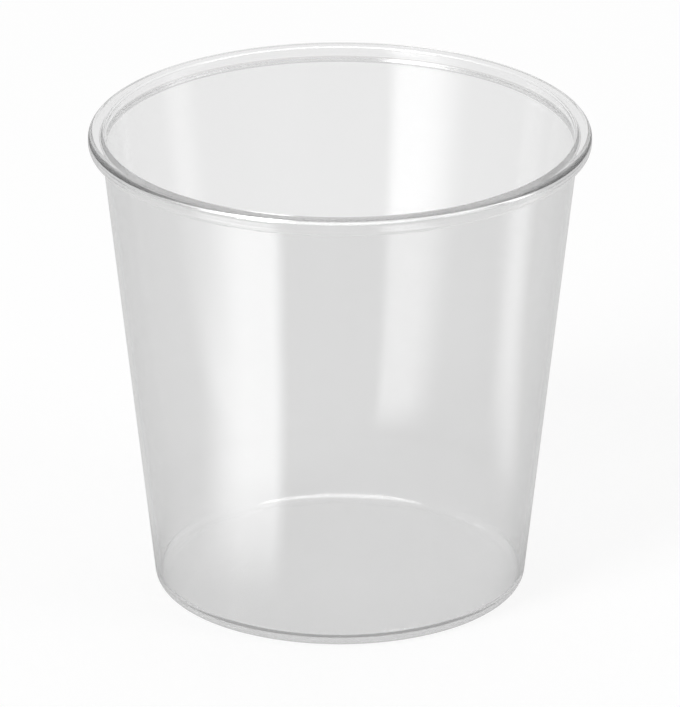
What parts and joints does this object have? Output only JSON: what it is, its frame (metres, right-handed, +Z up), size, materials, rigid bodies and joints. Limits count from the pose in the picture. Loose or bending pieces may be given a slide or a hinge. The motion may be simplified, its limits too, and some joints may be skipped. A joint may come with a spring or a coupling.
{
  "type": "plastic disposable cup",
  "caption": "Small clear plastic cup with straight tapered sides, a flat base and a narrow outward lip, for one short drink; nests in others of its kind",
  "frame": {"origin": "centre of the flat base, on the surface that the cup stands on", "axes": "+Z runs up the cup's axis from the base to the mouth; the cup is round, so X and Y are any two level directions"},
  "size_m": [0.049, 0.049, 0.047],
  "materials": {
    "clear_plastic": "clear and colourless, smooth and glossy as moulded"
  },
  "bodies": {
    "root": {"cup": "clear_plastic"}
  },
  "joints": []
}
